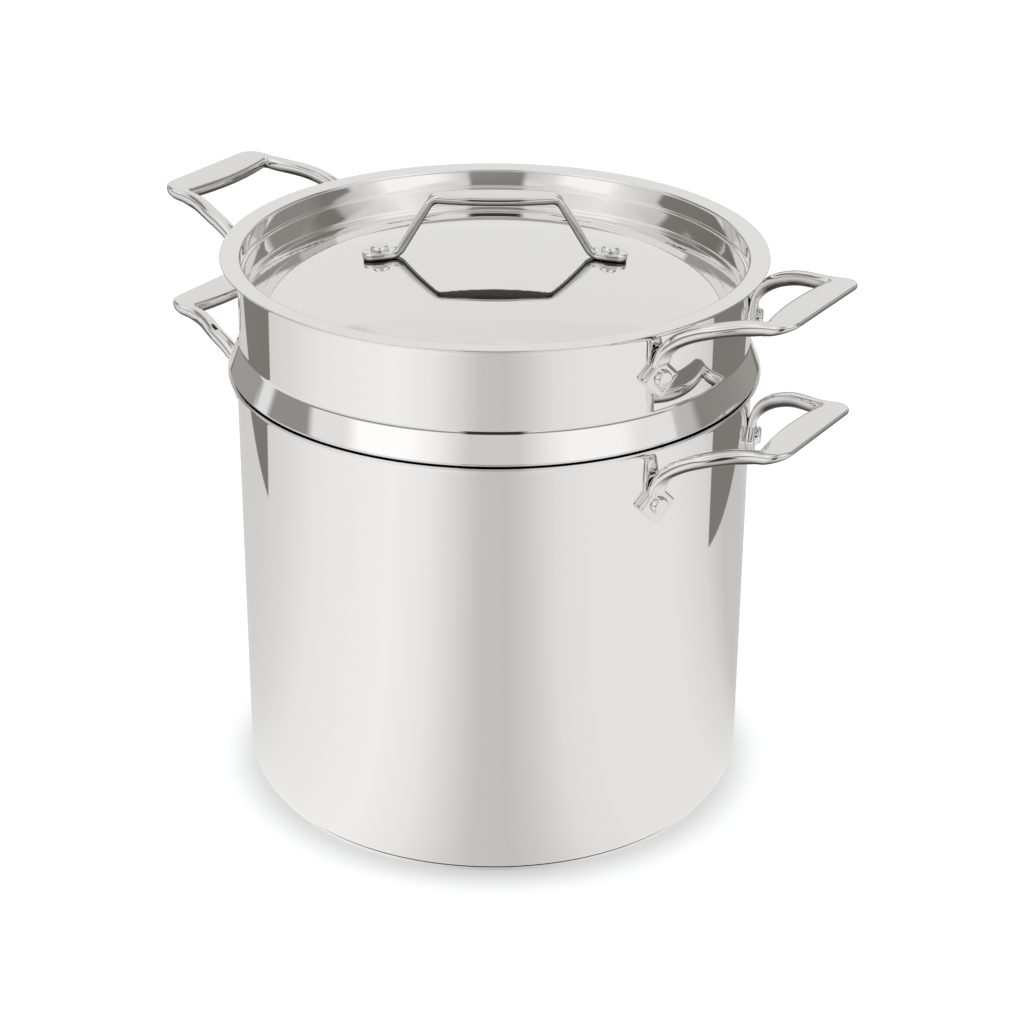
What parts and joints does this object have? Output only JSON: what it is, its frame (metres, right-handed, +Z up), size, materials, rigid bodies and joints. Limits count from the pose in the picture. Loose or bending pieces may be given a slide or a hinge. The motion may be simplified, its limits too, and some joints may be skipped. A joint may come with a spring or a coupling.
{
  "type": "pasta pot with strainer insert",
  "caption": "Tall steel stockpot with a perforated strainer insert that hangs in it on a sloped shoulder, and a sunk, crowned lid with an arched bar handle.",
  "frame": {"origin": "middle of the underside of the base, on the surface that the pot stands on", "axes": "+X towards the right side handles, -Y to the front, +Z up along the axis of the pot"},
  "size_m": [0.3692, 0.2746, 0.3164],
  "materials": {
    "polished_steel": "mirror-polished stainless steel",
    "satin_steel": "satin stainless steel",
    "aluminium_core": "plain aluminium, sealed inside the base"
  },
  "bodies": {
    "pot": {"pot_body": "polished_steel", "base_core": "aluminium_core", "base_cap": "satin_steel", "pot_handle_left": "polished_steel", "pot_handle_right": "polished_steel", "pot_rivet_left_front": "polished_steel", "pot_rivet_left_back": "polished_steel", "pot_rivet_right_front": "polished_steel", "pot_rivet_right_back": "polished_steel"},
    "insert": {"insert_body": "polished_steel", "insert_handle_left": "polished_steel", "insert_handle_right": "polished_steel", "insert_rivet_left_front": "polished_steel", "insert_rivet_left_back": "polished_steel", "insert_rivet_right_front": "polished_steel", "insert_rivet_right_back": "polished_steel"},
    "lid": {"lid_body": "polished_steel", "lid_handle": "polished_steel", "lid_rivet_left": "polished_steel", "lid_rivet_right": "polished_steel"}
  },
  "joints": [
    {"name": "insert_lift", "type": "slide", "parent": "pot", "child": "insert", "axis": [0, 0, 1], "range_m": [0, 0.24]},
    {"name": "lid_lift", "type": "slide", "parent": "insert", "child": "lid", "axis": [0, 0, 1], "range_m": [0, 0.12]}
  ]
}
